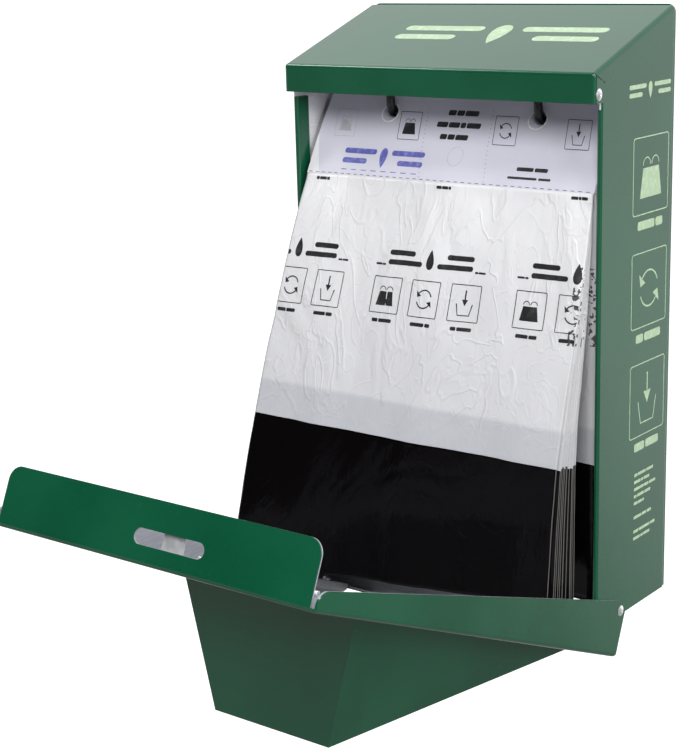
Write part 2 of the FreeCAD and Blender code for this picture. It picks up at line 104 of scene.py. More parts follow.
# ---- the mitt pack ----
ROD_LOW, ROD_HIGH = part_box("right_hanger_rod")
ROD_X = (ROD_LOW.x + ROD_HIGH.x) / 2
ROD_Z = ROD_LOW.z + 3.3 * MM
MITT_HALF = 128.3 * MM
PERF_Y = -104.5 * MM
PERF_Z = 98.8 * MM

# the header cards; a share is a place in the pack, from 0 in front to 1 at the back
CARD_TOP_Z = 157 * MM
CARD_LEAN = 0.618
CARD_BOW = 1.3 * MM
CARD_SHARES = (0.0, 0.012, 0.026, 0.043, 0.065, 0.095, 0.14, 0.2, 0.28, 0.38, 0.5, 0.64, 0.8, 1.0)
LAST_CARD_Y = -17 * MM
HOLE_R = 7.0 * MM
HOLE_Z = ROD_Z + 1.2 * MM
CARD_HALF_THICKNESS = 0.18 * MM

# the film sheets
FRONT_COLUMNS = 128
FRONT_ROWS = 140
FAN_LAYERS = 15
FAN_GRID = (40, 60)
FAN_THICKNESS = 0.16 * MM
REAR_LAYERS = 8
REAR_GRID = (30, 40)
REAR_THICKNESS = 0.3 * MM
# how low the sheets reach below the perforation, in millimetres
FAN_DROP = 290
FAN_DROP_MORE = 8
REAR_DROP = 309
# how far forward the fan's edges come, in millimetres: a start and a slope for the left,
# and (drop, y) pairs for the right
LEFT_FRONT = (-104.5, 0.5)
LEFT_REAR = (-103.0, 0.26)
LEFT_CURL = 0.0004
RIGHT_FRONT = ((0, -105.9), (45, -116.2), (92, -128.1), (160, -148.0), (186, -154.7),
               (235, -161.5), (300, -167.5))
RIGHT_REAR = ((0, -104.0), (25, -107.0), (75, -111.5), (123, -118.5), (166, -125.0),
              (200, -127.0), (300, -127.5))
# where the rearmost part of the pack begins and ends, in millimetres
REAR_FRONT_Y = -101.0
REAR_BACK_Y = -18.0
# soft folds: (height, waves across, phase, drift down the sheet)
FOLDS = ((0.75, 1.15, 0.08, 1.2), (0.45, 2.9, 0.31, -1.7), (0.22, 6.1, 0.12, 2.5))
# little creases: (scale across, scale down, height)
CREASES = ((6.0, 2.4, 1.3), (12.0, 5.0, 1.0), (24.0, 10.0, 0.5))

# ---- colours ----
PAINT_DARK = (0.0016, 0.066, 0.029)
PAINT_LIGHT = (0.0036, 0.082, 0.037)
PAINT_SPECK = (0.02, 0.12, 0.06)
# bare sheet aluminium inside the case, and the same metal inside the cover, darkened there as
# painted shade
BRIGHT_METAL = ((0.78, 0.78, 0.81), (0.86, 0.86, 0.89))
SHADED_METAL = ((0.30, 0.31, 0.35), (0.38, 0.39, 0.43))

# the film's colours, in UV: u goes across and v down, and the borders fall to the right
BORDER_FALL = 0.034
BAND_START, BAND_FULL = 0.520, 0.535
BLACK_START = 0.616
# narrow strips at both edges of the film, painted as lit edges: a painted highlight on the black,
# painted shade on the white
EDGE_LIGHT_LEFT, EDGE_LIGHT_RIGHT = 0.0022, 0.9978

# ---- prints, in millimetres ----
PRINT_LEAN = -0.2
PRINT_THICKNESS = 0.05 * MM
# the drop that the film's print is laid out for; it is stretched to the sheet's own
PRINT_DROP = 285.0
PRINT_LIMIT = 127.4
CARD_SIGN_Z = 136.5
SIDE_SIGN_Y = -36.0
CASE_CELL = 40.0

# ---- latch leaf ----
LEAF_CUTS = 24

# ---- stage ----
FLOOR_HALF = 30.0
FLOOR_Z = -1.5
LIGHT_TARGET = (0, -0.1, 0)
# name, place, size and power
LIGHTS = (
    ("key", (0.9, -1.9, 1.5), (1.2, 1.2), 52.0),
    ("fill", (2.2, -0.8, 0.6), (0.8, 0.8), 26.0),
    ("glint", (-1.9, -0.9, 2.4), (0.5, 0.5), 24.0),
)
CAMERA_PLACE = (0.7110, -1.1402, 0.2789)
CAMERA_YAW, CAMERA_PITCH, CAMERA_ROLL = (math.radians(a) for a in (38.13, 14.56, -1.65))
CAMERA_LENS = 81.3
CAMERA_SENSOR = 36.0


# ======== shader helpers ========
class Field:
    """A number that varies over a surface, built from Math nodes."""

    def __init__(self, tree, socket):
        self.tree = tree
        self.socket = socket

    def math(self, operation, other=None, third=None):
        node = self.tree.nodes.new("ShaderNodeMath")
        node.operation = operation
        for i, value in enumerate((self, other, third)):
            if isinstance(value, Field):
                self.tree.links.new(value.socket, node.inputs[i])
            elif value is not None:
                node.inputs[i].default_value = value
        return Field(self.tree, node.outputs[0])

    def __add__(self, other):
        return self.math("ADD", other)

    def __sub__(self, other):
        return self.math("SUBTRACT", other)

    def __mul__(self, other):
        return self.math("MULTIPLY", other)

    def above(self, limit):
        return self.math("GREATER_THAN", limit)

    def below(self, limit):
        return self.math("LESS_THAN", limit)

    def size(self):
        return self.math("ABSOLUTE")

    def inverse(self):
        return self.math("MULTIPLY_ADD", -1.0, 1.0)

    def ramp(self, low, high, out_low=0.0, out_high=1.0):
        node = self.tree.nodes.new("ShaderNodeMapRange")
        node.interpolation_type = "SMOOTHSTEP"
        self.tree.links.new(self.socket, node.inputs["Value"])
        settings = zip(("From Min", "From Max", "To Min", "To Max"), (low, high, out_low, out_high))
        for name, value in settings:
            node.inputs[name].default_value = value
        return Field(self.tree, node.outputs["Result"])

    def into(self, shader, name):
        self.tree.links.new(self.socket, shader.inputs[name])


def new_material(name):
    material = bpy.data.materials.new(name)
    material.use_nodes = True
    tree = material.node_tree
    shader = tree.nodes["Principled BSDF"]
    return material, tree, shader


def coordinates(tree, kind="Object"):
    """The X, Y and Z fields of a texture coordinate, and the coordinate's own socket."""
    source = tree.nodes.new("ShaderNodeTexCoord")
    split = tree.nodes.new("ShaderNodeSeparateXYZ")
    tree.links.new(source.outputs[kind], split.inputs[0])
    fields = [Field(tree, split.outputs[i]) for i in range(3)]
    return fields, source.outputs[kind]


def noise_field(tree, vector, scale, detail=3.0, stretch=None, distortion=0.0):
    if stretch:
        mapping = tree.nodes.new("ShaderNodeMapping")
        mapping.inputs["Scale"].default_value = stretch
        tree.links.new(vector, mapping.inputs["Vector"])
        vector = mapping.outputs["Vector"]
    node = tree.nodes.new("ShaderNodeTexNoise")
    node.inputs["Scale"].default_value = scale
    node.inputs["Detail"].default_value = detail
    node.inputs["Distortion"].default_value = distortion
    tree.links.new(vector, node.inputs["Vector"])
    return Field(tree, node.outputs["Fac"])


def mix_colour(tree, factor, a, b):
    """Colour a where factor is 0 and b where it is 1; a and b are colours or sockets."""
    node = tree.nodes.new("ShaderNodeMix")
    node.data_type = "RGBA"
    tree.links.new(factor.socket, node.inputs[0])
    for index, value in ((6, a), (7, b)):
        if isinstance(value, bpy.types.NodeSocket):
            tree.links.new(value, node.inputs[index])
        else:
            node.inputs[index].default_value = (*value, 1.0)
    return node.outputs[2]


def add_bump(tree, shader, field, strength, distance):
    node = tree.nodes.new("ShaderNodeBump")
    node.inputs["Strength"].default_value = strength
    node.inputs["Distance"].default_value = distance
    tree.links.new(field.socket, node.inputs["Height"])
    tree.links.new(node.outputs["Normal"], shader.inputs["Normal"])


# ======== metals and paint ========
def closed_place(y, z):
    """(depth, up) in the closed cover, from a point of the open one."""
    c = math.cos(OPEN_ANGLE)
    s = math.sin(OPEN_ANGLE)
    dy = y - PIVOT.y
    dz = z - PIVOT.z
    depth = dy * c + dz * s + COVER_DEPTH
    up = dz * c - dy * s + COVER_BELOW
    return depth, up


def bare_case(x, y, z):
    """1 on the inner faces of the case, which are bare metal; the folded hems show paint."""
    roof_middle = Z_FRONT - Y_FRONT * ROOF_SLOPE - SHEET / 2
    inside = (x.size().below(HALF - SHEET / 2) * y.above(Y_FRONT + SHEET / 2)
              * (z - y * ROOF_SLOPE).below(roof_middle) * y.below(BACK_PANEL_FACE))
    hem = (x.size().above(HALF - HEM_THICKNESS) * y.below(Y_SIDE + HEM_WIDTH + 0.1 * MM)
           * z.below(HEM_TOP))
    return inside * hem.inverse()


def bare_cover(x, y, z):
    """1 inside the cover's folds."""
    depth, up = closed_place(y, z)
    inside = x.size().below(HALF + COVER_PLAY + SHEET / 2) * depth.above(SHEET / 2)
    return inside * up.above(SHEET / 2) * up.below(COVER_HEIGHT - SHEET / 2)


def bare_hood(x, y, z):
    """1 on the hood's inner faces, and on the laps that lie behind the cover's sheet."""
    depth, up = closed_place(y, z)
    cheek = x.size() + up * CHEEK_UP - depth * CHEEK_OUT
    top = up - depth * TOP_OUT
    inside = cheek.below(HOOD_HALF - CHEEK_MIDDLE) * top.below(HOOD_TOP - TOP_MIDDLE)
    lap = depth.above(SHEET + 0.2 * MM)
    return inside.math("MAXIMUM", lap)


def bare_nowhere(x, y, z):
    """0 all over the back panel: no point of it is 10 m from the middle."""
    return x.size().above(10.0)


def powder_coat(name, bare_where, metal_tones=BRIGHT_METAL):
    """Green powder coat with fine orange peel, over bare sheet aluminium where bare_where says."""
    material, tree, shader = new_material(name)
    place, vector = coordinates(tree)
    cloud = noise_field(tree, vector, 9.0, 4.0)
    speck = noise_field(tree, vector, 420.0, 2.0)
    peel = noise_field(tree, vector, 900.0, 3.0)
    brushed = noise_field(tree, vector, 60.0, 4.0, stretch=(1.0, 1.0, 14.0))
    paint = mix_colour(tree, cloud.ramp(0.35, 0.65), PAINT_DARK, PAINT_LIGHT)
    paint = mix_colour(tree, speck.ramp(0.62, 0.75, 0.0, 0.25), paint, PAINT_SPECK)
    metal = mix_colour(tree, brushed.ramp(0.3, 0.7), *metal_tones)
    bare = bare_where(*place)
    tree.links.new(mix_colour(tree, bare, paint, metal), shader.inputs["Base Color"])
    (bare * 0.1).into(shader, "Metallic")
    (cloud.ramp(0.2, 0.8, 0.20, 0.27) + bare * 0.2).into(shader, "Roughness")
    add_bump(tree, shader, peel + brushed * bare, 0.10, 0.12 * MM)
    return material


def plain_metal(name, low, high, roughness, metallic, grain):
    """A metal or a plastic with its own grain: its tone varies from low to high."""
    material, tree, shader = new_material(name)
    _, vector = coordinates(tree)
    field = noise_field(tree, vector, grain, 4.0)
    tree.links.new(mix_colour(tree, field.ramp(0.3, 0.7), low, high), shader.inputs["Base Color"])
    field.ramp(0.25, 0.75, roughness - 0.06, roughness + 0.06).into(shader, "Roughness")
    shader.inputs["Metallic"].default_value = metallic
    add_bump(tree, shader, field, 0.12, 0.1 * MM)
    return material


# ======== card, film and ink ========
def card_material():
    """Pale lilac card with fibres in it, and a left margin painted whiter as a painted highlight,
    where the bent card faces the light.
    """
    material, tree, shader = new_material("header_card")
    (x, y, z), vector = coordinates(tree)
    fibre = noise_field(tree, vector, 260.0, 5.0, stretch=(1.0, 1.0, 3.0))
    cloud = noise_field(tree, vector, 14.0, 3.0)
    # painted highlight: a small corner at the lower left of the front cards, painted whiter where
    # the bent card faces the light
    lit_margin = (x + z * 0.4).below(-77 * MM) * y.below(-80 * MM)
    tone = mix_colour(tree, cloud.ramp(0.3, 0.7), (0.55, 0.545, 0.63), (0.60, 0.595, 0.68))
    tone = mix_colour(tree, lit_margin, tone, (0.74, 0.74, 0.77))
    tone = mix_colour(tree, fibre.ramp(0.55, 0.8, 0.0, 0.3), tone, (0.66, 0.66, 0.73))
    tree.links.new(tone, shader.inputs["Base Color"])
    shader.inputs["Roughness"].default_value = 0.45
    add_bump(tree, shader, fibre, 0.08, 0.1 * MM)
    return material


def film_material():
    """Mitt film: white, then a pale grey band, then black, with painted edge light at both edges: a
    painted highlight on the black and painted shade on the white.

    The right margin of the white part has specks of print.
    """
    material, tree, shader = new_material("mitt_film")
    (u, v, _), _ = coordinates(tree, "UV")
    _, vector = coordinates(tree)
    slow = noise_field(tree, vector, 16.0, 3.0, stretch=(1.0, 1.0, 0.45), distortion=0.6)
    fine = noise_field(tree, vector, 95.0, 4.0, stretch=(1.0, 1.0, 0.35), distortion=1.2)
    wide = noise_field(tree, vector, 17.0, 2.0, stretch=(1.0, 1.0, 0.55), distortion=2.2)
    small = noise_field(tree, vector, 46.0, 2.0, stretch=(1.0, 1.0, 0.45), distortion=1.6)
    creases = ((wide - 0.5).size().ramp(0.0, 0.035, 1.0, 0.0)
               + (small - 0.5).size().ramp(0.0, 0.05, 0.45, 0.0))
    creases = creases * v.ramp(0.50, 0.66, 1.0, 0.2)

    milky = mix_colour(tree, slow.ramp(0.35, 0.65), (0.66, 0.66, 0.68), (0.74, 0.74, 0.76))
    # the white is painted darker towards the bottom of the sheet, as painted shade
    white = mix_colour(tree, v.ramp(0.0, 0.55, 0.0, 0.8), milky, (0.54, 0.54, 0.56))
    specks = noise_field(tree, vector, 330.0, 1.0).above(0.57) * u.above(0.975)
    specks = specks * v.above(0.17) * v.below(0.36)
    paper = mix_colour(tree, specks * 0.9, white, (0.03, 0.03, 0.03))
    level = v - u * BORDER_FALL
    band = mix_colour(tree, level.ramp(BAND_START, BAND_FULL), paper, (0.46, 0.47, 0.50))
    black = level.above(BLACK_START)
    film = mix_colour(tree, black, band, (0.0022, 0.0018, 0.0020))
    # painted edge light: lighter than the black film, darker than the white
    edge_light_tone = mix_colour(tree, black, (0.50, 0.50, 0.51), (0.11, 0.107, 0.104))
    edge_light = u.above(EDGE_LIGHT_RIGHT).math("MAXIMUM", u.below(EDGE_LIGHT_LEFT))
    tree.links.new(mix_colour(tree, edge_light, film, edge_light_tone), shader.inputs["Base Color"])

    slow.ramp(0.3, 0.7, 0.13, 0.2).into(shader, "Roughness")
    shader.inputs["Specular IOR Level"].default_value = 0.16
    add_bump(tree, shader, slow * 1.5 + fine * 0.5 + creases * 0.6, 0.55, 1.0 * MM)
    return material


def ink_material(name, colour, rub):
    """Ink that is rubbed a little lighter in spots."""
    material, tree, shader = new_material(name)
    _, vector = coordinates(tree)
    wear = noise_field(tree, vector, 240.0, 4.0)
    lighter = tuple(min(1.0, c * 1.25 + rub) for c in colour)
    tone = mix_colour(tree, wear.ramp(0.45, 0.75), colour, lighter)
    tree.links.new(tone, shader.inputs["Base Color"])
    shader.inputs["Roughness"].default_value = 0.42
    add_bump(tree, shader, wear, 0.05, 0.05 * MM)
    return material


# ======== mesh helpers ========
def add_object(name, data):
    piece = bpy.data.objects.new(name, data)
    bpy.context.scene.collection.objects.link(piece)
    return piece


def mesh_object(name, verts, faces, material, smooth=True, uvs=None):
    mesh = bpy.data.meshes.new(name)
    mesh.from_pydata([tuple(v) for v in verts], [], faces)
    mesh.update()
    if uvs is not None:
        layer = mesh.uv_layers.new(name="UVMap")
        for loop in mesh.loops:
            layer.data[loop.index].uv = uvs[loop.vertex_index]
    for face in mesh.polygons:
        face.use_smooth = smooth
    mesh.materials.append(material)
    return add_object(name, mesh)


def thicken(piece, thickness):
    thick = piece.modifiers.new("thickness", "SOLIDIFY")
    thick.thickness = thickness
    thick.offset = 0.0


def slice_mesh(shape, place, normal, clear_outer=False):
    """Cuts the faces that cross a plane, and clears what lies beyond it if asked to."""
    parts = shape.verts[:] + shape.edges[:] + shape.faces[:]
    bmesh.ops.bisect_plane(shape, geom=parts, plane_co=place, plane_no=normal,
                           clear_outer=clear_outer)


def lerp(a, b, share):
    return a + (b - a) * share


def ease(x):
    x = max(0.0, min(1.0, x))
    return x * x * (3 - 2 * x)


def soft(piece):
    """Attaches a piece of the mitt pack, which hangs in the case, to the case with a mesh of its
    own.
    """
    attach(piece, "case")
    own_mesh(piece)


# ======== film sheets: t goes across a sheet and v down it, both from 0 to 1 ========
def ripple(t, v):
    """Soft vertical folds, in metres, which grow towards the bottom."""
    grow = 0.25 + 2.1 * v
    wave = 0.0
    for height, waves, phase, drift in FOLDS:
        wave += height * math.sin(6.3 * (waves * t + phase) + drift * v)
    return wave * grow * MM


def crinkle(t, v, seed):
    """Sharp little creases, in metres: ridges of noise, drawn out down the sheet."""
    height = 0.0
    for scale, drawn, size in CREASES:
        turn = 0.35 * noise.noise(Vector((t * 3.0, v * 3.0, seed + 4.0)))
        ridge = abs(noise.noise(Vector(((t + turn * v) * scale, (v + turn * t) * drawn, seed))))
        height += (0.32 - ridge) * size
    calm = 0.35 + 0.65 * ease((0.62 - v) / 0.2)
    return height * calm * ease(v / 0.03) * 1.5 * MM


def left_edge(line, drop):
    start, slope = line
    return start - (slope * drop - LEFT_CURL * drop * drop)


def right_edge(curve, drop):
    """The value of a curve, given as (drop, value) pairs, at a drop."""
    for (d0, y0), (d1, y1) in zip(curve, curve[1:]):
        if drop <= d1:
            return lerp(y0, y1, (drop - d0) / (d1 - d0))
    return curve[-1][1]


def fan_point(share, t, v):
    """A point of a fanned mitt: share is 0 for the front one and 1 for the hindmost."""
    drop = (FAN_DROP + FAN_DROP_MORE * share) * v
    left = lerp(left_edge(LEFT_FRONT, drop), left_edge(LEFT_REAR, drop), share)
    right = lerp(right_edge(RIGHT_FRONT, drop), right_edge(RIGHT_REAR, drop), share ** 0.8)
    across = t + 0.10 * math.sin(math.pi * t) * v
    y = lerp(left, right, across) * MM
    y += ripple(t, v) * (1.0 - 0.6 * share) + crinkle(t, v, 3.0 + 0.8 * share)
    x = lerp(-MITT_HALF, MITT_HALF, t)
    return Vector((x, y, PERF_Z - drop * MM))


def rear_point(share, t, v):
    """A point of a mitt in the straight-hanging rear of the pack."""
    drop = REAR_DROP * v
    y = lerp(REAR_FRONT_Y, REAR_BACK_Y, share) + 0.02 * drop * (1 - share)
    y += 0.5 * math.sin(9 * t + 4 * share + 2 * v) * v
    x = lerp(-MITT_HALF, MITT_HALF, t)
    return Vector((x, y * MM + 0.5 * crinkle(t, v, 9.0 + share), PERF_Z - drop * MM))


def shifted(point, share, sideways, slide):
    """The sheet's point function, moved a little sideways and down, as loose mitts are."""

    def place(t, v):
        p = point(share, t, v)
        p.x += sideways * v
        p.z -= slide * v
        return p

    return place


def film_sheet(name, place, columns, rows, material, thickness):
    """A sheet over a grid of cells; returns it and the grid's points, row by row."""
    verts, uvs, faces = [], [], []
    for j in range(rows + 1):
        for i in range(columns + 1):
            t, v = i / columns, j / rows
            verts.append(place(t, v))
            uvs.append((t, v))
    width = columns + 1
    for j in range(rows):
        for i in range(columns):
            a = j * width + i
            faces.append((a, a + 1, a + width + 1, a + width))
    piece = mesh_object(name, verts, faces, material, uvs=uvs)
    thicken(piece, thickness)
    return piece, verts


def hang(piece):
    """Attaches a mitt to the case with a mesh of its own; each mitt is 257 by 311 mm laid flat, and
    hangs from the two rods.
    """
    soft(piece)


def make_mitts(film):
    """Hangs the fan and the rear of the pack; returns the front sheet's grid of points."""
    shift = random.Random(11)
    place = shifted(fan_point, 0.0, 0.0, 0.0)
    front, grid = film_sheet("front_mitt_film", place, FRONT_COLUMNS, FRONT_ROWS, film,
                             FAN_THICKNESS)
    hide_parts("front_mitt")
    hang(front)
    for k in range(1, FAN_LAYERS):
        # the second sheet shows past the left edge of the front one
        sideways = -2.6 * MM if k == 1 else shift.uniform(-1.4, 1.4) * MM
        place = shifted(fan_point, k / (FAN_LAYERS - 1), sideways, shift.uniform(-2.0, 3.0) * MM)
        piece, _ = film_sheet(f"fanned_mitt_{k:02d}", place, *FAN_GRID, film, FAN_THICKNESS)
        if k == 1:
            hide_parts("fanned_mitts")
        hang(piece)
    for k in range(REAR_LAYERS):
        share = k / (REAR_LAYERS - 1)
        place = shifted(rear_point, share, shift.uniform(-1.2, 1.2) * MM, shift.uniform(-2, 2) * MM)
        piece, _ = film_sheet(f"rear_mitt_{k:02d}", place, *REAR_GRID, film, REAR_THICKNESS)
        if k == 0:
            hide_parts("rear_mitts")
        hang(piece)
    return grid


# ======== header cards ========
def card_place(share):
    """Where a header card stands: its lower edge's y, and how far it leans."""
    y = lerp(PERF_Y, LAST_CARD_Y, share)
    lean = CARD_LEAN * (1 - share) ** 1.6
    return y, lean


def card_point(share, x, z, out=0.0):
    """A point on a card's front face, moved out from it."""
    y0, lean = card_place(share)
    rise = (z - PERF_Z) / (CARD_TOP_Z - PERF_Z)
    bow = CARD_BOW * math.sin(math.pi * rise) * (1 - share)
    normal = Vector((0, -1, lean)).normalized()
    return Vector((x, y0 + (z - PERF_Z) * lean - bow, z)) + normal * out


def circle_points(cx, cz, radius, count):
    steps = [2 * math.pi * i / count for i in range(count)]
    return [(cx + radius * math.cos(a), cz + radius * math.sin(a)) for a in steps]


def flat_card(name, loops):
    """A flat mesh of a card's thickness: the first loop is its outline, the others are holes."""
    curve = bpy.data.curves.new(name, "CURVE")
    curve.dimensions = "2D"
    curve.fill_mode = "BOTH"
    curve.extrude = CARD_HALF_THICKNESS
    for loop in loops:
        spline = curve.splines.new("POLY")
        spline.points.add(len(loop) - 1)
        for point, (x, z) in zip(spline.points, loop):
            point.co = (x, z, 0.0, 1.0)
        spline.use_cyclic_u = True
    holder = add_object(name, curve)
    bpy.context.view_layer.update()
    flat = bpy.data.meshes.new_from_object(holder)
    bpy.data.objects.remove(holder)
    return flat


def header_card(name, share, order, material):
    """One punched card: a flat outline with two holes, bent to its lean and bow."""
    slip = 0.7 * MM * min(order, 3)
    _, lean = card_place(share)
    squeeze = 1 / math.hypot(1.0, lean)
    outline = [(-MITT_HALF, PERF_Z), (MITT_HALF, PERF_Z), (MITT_HALF, CARD_TOP_Z),
               (-MITT_HALF, CARD_TOP_Z)]
    loops = [outline]
    for side in (-1, 1):
        ring = circle_points(side * ROD_X, 0.0, HOLE_R, 40)
        loops.append([(x + slip, HOLE_Z + slip + z * squeeze) for x, z in ring])
    flat = flat_card(name, loops)
    shape = bmesh.new()
    shape.from_mesh(flat)
    cuts = 10
    for i in range(1, cuts):
        slice_mesh(shape, (0, lerp(PERF_Z, CARD_TOP_Z, i / cuts), 0), (0, 1, 0))
    bmesh.ops.remove_doubles(shape, verts=shape.verts[:], dist=1e-6)
    for vert in shape.verts:
        x, z, out = vert.co
        vert.co = card_point(share, x, z, out)
    bmesh.ops.recalc_face_normals(shape, faces=shape.faces[:])
    shape.to_mesh(flat)
    shape.free()
    piece = add_object(name, flat)
    flat.materials.clear()
    flat.materials.append(material)
    return piece


def make_cards(material):
    for k, share in enumerate(CARD_SHARES):
        card = header_card(f"header_card_{k:02d}", share, k, material)
        if k == 0:
            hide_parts("header_cards")
        soft(card)


# ======== printed graphics: flat shapes, each a list of points and a list of faces ========
def polygon(points):
    return list(points), [tuple(range(len(points)))]


def band_between(outer, inner, closed=True):
    """The band between two lines of as many points each."""
    count = len(outer)
    last = count if closed else count - 1
    faces = [(i, (i + 1) % count, count + (i + 1) % count, count + i) for i in range(last)]
    return outer + inner, faces


def bar_outline(cx, cy, width, height, radius, steps=6):
    radius = min(radius, width / 2, height / 2)
    points = []
    for sx, sy, start in ((1, 1, 0), (-1, 1, 90), (-1, -1, 180), (1, -1, 270)):
        ox = cx + sx * (width / 2 - radius)
        oy = cy + sy * (height / 2 - radius)
        for i in range(steps + 1):
            angle = math.radians(start + 90 * i / steps)
            points.append((ox + radius * math.cos(angle), oy + radius * math.sin(angle)))
    return points


def bar(cx, cy, width, height, radius=None):
    """A bar with rounded corners; without a radius its ends are round."""
    return polygon(bar_outline(cx, cy, width, height, height / 2 if radius is None else radius))


def frame_shape(cx, cy, width, height, radius, line):
    outer = bar_outline(cx, cy, width, height, radius)
    inner_radius = max(radius - line, line / 4)
    inner = bar_outline(cx, cy, width - 2 * line, height - 2 * line, inner_radius)
    return band_between(outer, inner)


def ring_shape(cx, cy, radius, line, start=0.0, sweep=360.0, steps=36):
    """A ring, or an arc of one, from start over sweep degrees."""
    whole = sweep >= 360
    count = steps if whole else steps + 1
    angles = [math.radians(start + sweep * i / steps) for i in range(count)]
    outer, inner = ([(cx + r * math.cos(a), cy + r * math.sin(a)) for a in angles]
                    for r in (radius + line / 2, radius - line / 2))
    return band_between(outer, inner, closed=whole)


def stroke(points, line):
    """A polyline of the line's width."""
    left, right = [], []
    for i, p in enumerate(points):
        a = points[max(i - 1, 0)]
        b = points[min(i + 1, len(points) - 1)]
        length = math.hypot(b[0] - a[0], b[1] - a[1])
        nx = -(b[1] - a[1]) / length * line / 2
        ny = (b[0] - a[0]) / length * line / 2
        left.append((p[0] + nx, p[1] + ny))
        right.append((p[0] - nx, p[1] - ny))
    return band_between(left, right, closed=False)


def dashes(x0, y0, x1, y1, dash, gap, line):
    """A dashed line from one point to another."""
    length = math.hypot(x1 - x0, y1 - y0)
    ux, uy = (x1 - x0) / length, (y1 - y0) / length
    shapes = []
    at = 0.0
    while at + dash <= length:
        a = (x0 + ux * at, y0 + uy * at)
        b = (x0 + ux * (at + dash), y0 + uy * (at + dash))
        shapes.append(stroke([a, b], line))
        at += dash + gap
    return shapes


def mapped(shapes, change):
    """The shapes with change(x, y) made to each point."""
    return [([change(x, y) for x, y in points], faces) for points, faces in shapes]


def bag_sign(line):
    """A plain sack with two handles, in a space of 1 by 1."""
    sack = [(-0.22, 0.10), (0.22, 0.10), (0.30, -0.30), (-0.30, -0.30)]
    handles = [ring_shape(s * 0.12, 0.14, 0.10, line, 0, 180, 12) for s in (-1, 1)]
    return [polygon(sack)] + handles


def turn_sign(line):
    """Two arrows that chase each other round a circle."""
    shapes = []
    for start in (20, 200):
        shapes.append(ring_shape(0, 0, 0.25, line * 1.6, start, 125, 16))
        tip = math.radians(start + 150)
        back = math.radians(start + 122)
        corners = ((0.25, tip), (0.36, back), (0.14, back))
        shapes.append(polygon([(r * math.cos(a), r * math.sin(a)) for r, a in corners]))
    return shapes


def bin_sign(line):
    """A basket with an arrow that points into it."""
    sides = [(-0.26, -0.02), (-0.18, -0.34), (0.18, -0.34), (0.26, -0.02)]
    arrow = [(-0.10, 0.10), (0.10, 0.10), (0.0, -0.08)]
    stem = stroke([(0.0, 0.36), (0.0, 0.09)], line * 1.8)
    return [stroke(sides, line * 1.4), polygon(arrow), stem]


SIGNS = (bag_sign, turn_sign, bin_sign)


def sign_box(cx, cy, width, height, radius, line, sign):
    """A framed sign, with the sign scaled to the frame's width."""
    inside = mapped(SIGNS[sign](line / width), lambda x, y: (x * width + cx, y * width + cy))
    return [frame_shape(cx, cy, width, height, radius, line)] + inside


def emblem(cx, cy, height):
    """A generic mark: a leaf between rows of rounded bars of uneven length."""
    turns = [math.pi * i / 10 for i in range(11)]
    leaf = [(cx + 0.30 * height * math.sin(a) * math.sin(a / 2), cy - 0.5 * height * math.cos(a))
            for a in turns]
    leaf += [(2 * cx - x, y) for x, y in reversed(leaf[1:-1])]
    shapes = [polygon(leaf)]
    for side in (-1, 1):
        x = cx + side * height * 1.55
        shapes.append(bar(x, cy + 0.28 * height, 2.1 * height, 0.26 * height))
        x += side * 0.25 * height
        shapes.append(bar(x, cy - 0.20 * height, 1.6 * height, 0.26 * height))
    return shapes


def words(cx, cy, width, height, count):
    """A line of generic print: short bars of uneven length, side by side."""
    lengths = [1.0 + 0.5 * math.sin(2.4 * i + cx + cy) for i in range(count)]
    gap = 0.09 * width / count
    unit = (width - gap * (count - 1)) / sum(lengths)
    shapes = []
    at = cx - width / 2
    for length in lengths:
        shapes.append(bar(at + length * unit / 2, cy, length * unit, height, height * 0.3))
        at += length * unit + gap
    return shapes


def leaning(shapes, cy):
    return mapped(shapes, lambda x, y: (x + PRINT_LEAN * (y - cy), y))


def decal(name, shapes, place, material, lift, cell=4.0, limit=None):
    """Printed marks: cut into small cells, then laid on a surface by place(a, b, out).

    With a limit, what is further than that from the middle is cut away.
    """
    shape = bmesh.new()
    for points, fills in shapes:
        corners = [shape.verts.new((a, b, 0.0)) for a, b in points]
        for fill in fills:
            shape.faces.new([corners[i] for i in fill])
    for axis, normal in enumerate((Vector((1, 0, 0)), Vector((0, 1, 0)))):
        values = [vert.co[axis] for vert in shape.verts]
        cut = math.ceil(min(values) / cell) * cell
        while cut < max(values):
            slice_mesh(shape, normal * cut, normal)
            cut += cell
    for side in (-1, 1) if limit else ():
        slice_mesh(shape, Vector((side * limit, 0, 0)), Vector((side, 0, 0)), clear_outer=True)
    bmesh.ops.triangulate(shape, faces=shape.faces[:])
    for vert in shape.verts:
        vert.co = place(vert.co.x, vert.co.y, lift)
    mesh = bpy.data.meshes.new(name)
    shape.to_mesh(mesh)
    shape.free()
    mesh.materials.append(material)
    piece = add_object(name, mesh)
    thicken(piece, PRINT_THICKNESS)
    return piece


# ---- film prints: x across and y down from the perforation ----
def on_sheet(grid):
    """Places a print on the front mitt, between the four points of its cell of the grid."""
    width = FRONT_COLUMNS + 1

    def place(x, y, out):
        t = (x * MM + MITT_HALF) / (2 * MITT_HALF) * FRONT_COLUMNS
        v = y / PRINT_DROP * FRONT_ROWS
        i = max(0, min(FRONT_COLUMNS - 1, int(t)))
        j = max(0, min(FRONT_ROWS - 1, int(v)))
        a, b = grid[j * width + i], grid[j * width + i + 1]
        c, d = grid[(j + 1) * width + i], grid[(j + 1) * width + i + 1]
        here = lerp(lerp(a, b, t - i), lerp(c, d, t - i), v - j)
        normal = (c - a).cross(b - a).normalized()
        return here - normal * out if normal.y > 0 else here + normal * out

    return place


def film_print_set(cx, signs):
    """One repeat of the film's print: the mark, and framed signs with a short line under each."""
    shapes = emblem(cx, 54.0, 14.0)
    for side in (-1, 1):
        shapes += words(cx + side * 43.0, 60.0, 9.0, 1.4, 2)
    for sign in signs:
        x = cx + (sign - 1) * 34.0
        box = sign_box(0, 0, 25.0, 26.0, 1.0, 0.6, sign)
        shapes += mapped(box, lambda px, py: (px + x, 81.5 - py))
        shapes += words(x, 99.5, 17.0, 2.6, 2)
    return shapes


